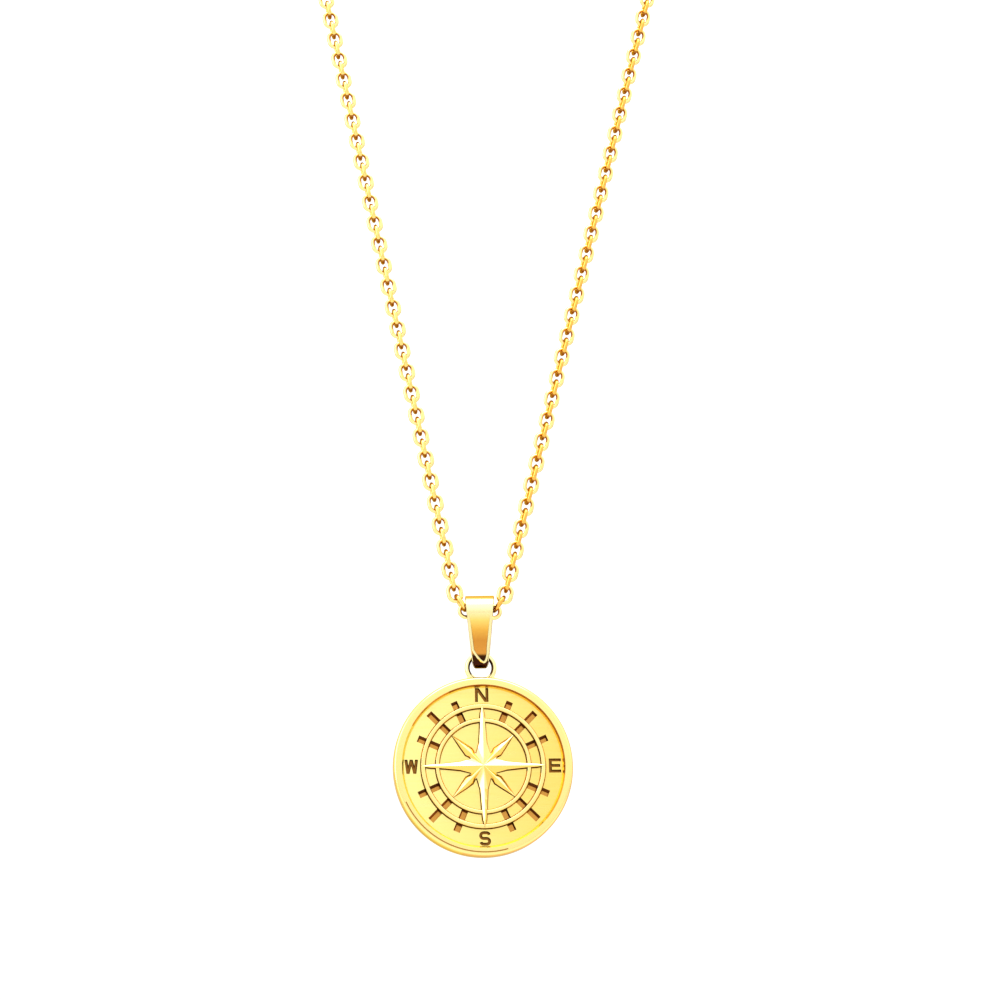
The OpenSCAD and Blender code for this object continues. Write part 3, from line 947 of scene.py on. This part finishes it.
# Links gathered as one mesh. side is 1 for the +X half of the necklace and -1 for the other
class Chain:
    def __init__(self, name):
        self.name = name
        self.verts = []
        self.faces = []
        self.kinds = []

    def add(self, middle, tilt, edge_on, side=1, twist=0):
        matrix = Matrix.Translation((side * middle[0], 0, middle[1])) @ turn_by(side * tilt, "Y")
        matrix = matrix @ turn_by(twist + (90 if edge_on else 0), "Z")
        start = len(self.verts)
        self.verts += [matrix @ p for ring in LINK_RINGS for p in ring]
        rings = len(LINK_RINGS)
        for i in range(rings):
            a = start + i * WIRE_SIDES
            b = start + (i + 1) % rings * WIRE_SIDES
            height = abs(LINK_RINGS[i][0].z)
            for k in range(WIRE_SIDES):
                j = (k + 1) % WIRE_SIDES
                self.faces.append((a + k, a + j, b + j, b + k))
                # Painted light and shade: a face-on link is pale outside and deeper inside; an edge-on
                # link is dark at its hooked ends, orange in the middle on the +X strand and deeper gold
                # on the other
                inner = WIRE_SIDES / 4 <= k < 3 * WIRE_SIDES / 4
                if edge_on:
                    middle_kind = CHAIN_SIDE if side > 0 else CHAIN_INNER
                    self.kinds.append(CHAIN_HOOK if height > HOOK_SHARE * LINK_L / 2 else middle_kind)
                else:
                    self.kinds.append(CHAIN_INNER if inner else CHAIN_PALE)

    def finish(self):
        chain = new_object(self.name, self.verts, self.faces, CHAIN_METALS, self.kinds)
        return place(chain, Matrix.Identity(4), PIVOT, "necklace", [self.name], LINK_SHARP)


first_mid = next_link(INNER_TILT, 90)
mouth_mid = first_mid + next_link(INNER_TILT, MOUTH_TILT)
strand_mid = mouth_mid + next_link(STRAND_ANGLE, MOUTH_TILT)
half_turn = math.radians(90 + STRAND_ANGLE)
cos_strand = math.cos(math.radians(STRAND_ANGLE))
tan_strand = math.tan(math.radians(STRAND_ANGLE))
straight_l = LOOP_LENGTH / 2 - BEND_LINKS * PITCH - strand_mid.x * half_turn / cos_strand
straight_l /= 1 + half_turn * tan_strand
nape_r = (strand_mid.x + straight_l * tan_strand * cos_strand) / cos_strand
nape_z = strand_mid.y + straight_l * cos_strand + nape_r * tan_strand * cos_strand
hook_x = CLASP_L / 2 - CLASP_WALL - WIRE_R - LINK_GAP
end_x = hook_x + LINK_L / 2 - WIRE_R
end_angle = math.asin((end_x + LINK_L / 2 + LINK_GAP) / nape_r)
clasp_up = nape_z + nape_r * math.cos(end_angle)
hidden_start = FRONT_LINKS * PITCH
hidden_l = straight_l + nape_r * (half_turn - end_angle) - hidden_start
hidden_links = 2 * round(hidden_l / PITCH / 2)


# Twist of a link of one strand, counted from the mouth of the bail: none at both ends of the strand
def twist(side, i):
    if side < 0:
        return 0
    return STRAND_TWIST * min(1, i / TWIST_LINKS, (FRONT_LINKS + hidden_links - i) / TWIST_LINKS)


def chain_front():
    chain = Chain("chain_front")
    chain.add((0, 0), 90, True)
    for side in (1, -1):
        chain.add(first_mid, INNER_TILT, False, side)
        chain.add(mouth_mid, MOUTH_TILT, True, side)
        for i in range(FRONT_LINKS):
            middle = strand_mid + i * PITCH * direction(STRAND_ANGLE)
            chain.add(middle, STRAND_ANGLE, i % 2 == 1, side, twist(side, i))
    return chain.finish()


# The hidden links carry on along the strand, then round the nape to the clasp
def chain_back():
    chain = Chain("chain_back")
    for side in (1, -1):
        for i in range(hidden_links + 1):
            length = hidden_start + i * hidden_l / hidden_links
            middle = strand_mid + length * direction(STRAND_ANGLE)
            tilt = STRAND_ANGLE
            if length > straight_l:
                tilt = STRAND_ANGLE - math.degrees((length - straight_l) / nape_r)
                middle = Vector((0, nape_z)) + polar(nape_r - NAPE_INSET, -tilt)
            chain.add(middle, tilt, (FRONT_LINKS + i) % 2 == 1, side, twist(side, FRONT_LINKS + i))
        chain.add((end_x, clasp_up), 90, True, side)
    return chain.finish()


# Clasp: a flat bar with round ends and softened edges, a round hole and a long slot
def clasp():
    r = CLASP_W / 2
    round_x = CLASP_L / 2 - r

    def outline(smaller):
        right = arc((round_x, 0), r - smaller, -90, 90, CLASP_STEPS)
        return right + arc((-round_x, 0), r - smaller, 90, 270, CLASP_STEPS)
    low = -CLASP_T / 2
    b = CLASP_BEVEL
    bar = stack("clasp", [
        (outline(b), low), (outline(b / 3), low + b / 3), (outline(0), low + b),
        (outline(0), -low - b), (outline(b / 3), -low - b / 3), (outline(b), -low)], POLISHED)
    hole_r = CLASP_HOLE / 2
    last_angle = 360 - 360 / HOLE_POINTS
    hole = arc((CLASP_L / 2 - CLASP_WALL - hole_r, 0), hole_r, 0, last_angle, HOLE_POINTS - 1)
    slot_r = r - CLASP_WALL
    slot_from = CLASP_WALL + slot_r - CLASP_L / 2
    slot_to = slot_from + CLASP_L - 3 * CLASP_WALL - 2 * slot_r - CLASP_HOLE
    slot = arc((slot_to, 0), slot_r, -90, 90, SLOT_STEPS)
    slot += arc((slot_from, 0), slot_r, 90, 270, SLOT_STEPS)
    boolean(bar, [prism("cut", line, -CLASP_T, CLASP_T, FULL) for line in (hole, slot)], "DIFFERENCE")
    centre = PIVOT + Vector((0, 0, clasp_up * MM))
    return place(bar, turn_by(90, "X"), centre, "necklace", ["clasp"])


medallion()
bail()
chain_front()
chain_back()
clasp()

# Stage: a pale floor under the hanging necklace
FLOOR_SIZE = 14
FLOOR_Z = -0.33
PALE_FLOOR = (0.6, 0.59, 0.57, 1)
bpy.ops.mesh.primitive_plane_add(size=FLOOR_SIZE, location=(0, 0, FLOOR_Z))
floor = bpy.context.object
floor.name = "floor"
floor_material = bpy.data.materials.new("floor")
floor_material.use_nodes = True
floor_shader = floor_material.node_tree.nodes["Principled BSDF"]
floor_shader.inputs["Base Color"].default_value = PALE_FLOOR
floor_shader.inputs["Roughness"].default_value = 0.9
floor.data.materials.append(floor_material)


# Camera: low and a little to the left, looking up past the coin
CAMERA_AT = Vector((-0.024228, -0.256973, -0.278001))
CAMERA_YAW = 5.873
CAMERA_PITCH = 15.86
CAMERA_ROLL = 0.409
SENSOR_W = 36
# Focal length as a share of the sensor's width
FOCAL_SHARE = 2.3417
camera = bpy.data.objects.new("camera", bpy.data.cameras.new("camera"))
bpy.context.scene.collection.objects.link(camera)
camera.data.sensor_width = SENSOR_W
camera.data.lens = SENSOR_W * FOCAL_SHARE
camera.data.clip_start = 0.01
camera.location = CAMERA_AT
aim = turn_by(-CAMERA_YAW, "Z") @ turn_by(90 + CAMERA_PITCH, "X") @ turn_by(CAMERA_ROLL, "Z")
camera.rotation_euler = aim.to_euler()
bpy.context.scene.camera = camera


# Point on the necklace that the lights aim at
LIT_POINT = (0, 0, -0.2)


def area_light(name, location, size, power):
    data = bpy.data.lights.new(name, "AREA")
    data.shape = "RECTANGLE"
    data.size, data.size_y = size
    data.energy = power
    light = bpy.data.objects.new(name, data)
    bpy.context.scene.collection.objects.link(light)
    light.location = location
    light.rotation_euler = (Vector(LIT_POINT) - Vector(location)).to_track_quat("-Z", "Y").to_euler()


area_light("top", location=(0.0, -0.3, 0.5), size=(0.8, 0.5), power=4)
area_light("left", location=(-0.9, -0.5, 0.1), size=(0.5, 0.8), power=3)

# Studio: white all round, brighter overhead than below
SKY_BELOW = 0.35
SKY_ABOVE = 1.72
world = bpy.data.worlds.new("studio")
world.use_nodes = True
bpy.context.scene.world = world
sky = world.node_tree
upward = along(sky, sky.nodes.new("ShaderNodeTexCoord").outputs["Generated"], "Z", -1, 1)
level = sky.nodes.new("ShaderNodeMapRange")
level.inputs["To Min"].default_value = SKY_BELOW
level.inputs["To Max"].default_value = SKY_ABOVE
sky.links.new(upward, level.inputs["Value"])
sky.nodes["Background"].inputs["Color"].default_value = (1, 1, 1, 1)
sky.links.new(level.outputs[0], sky.nodes["Background"].inputs["Strength"])
bpy.context.scene.view_settings.view_transform = "Standard"
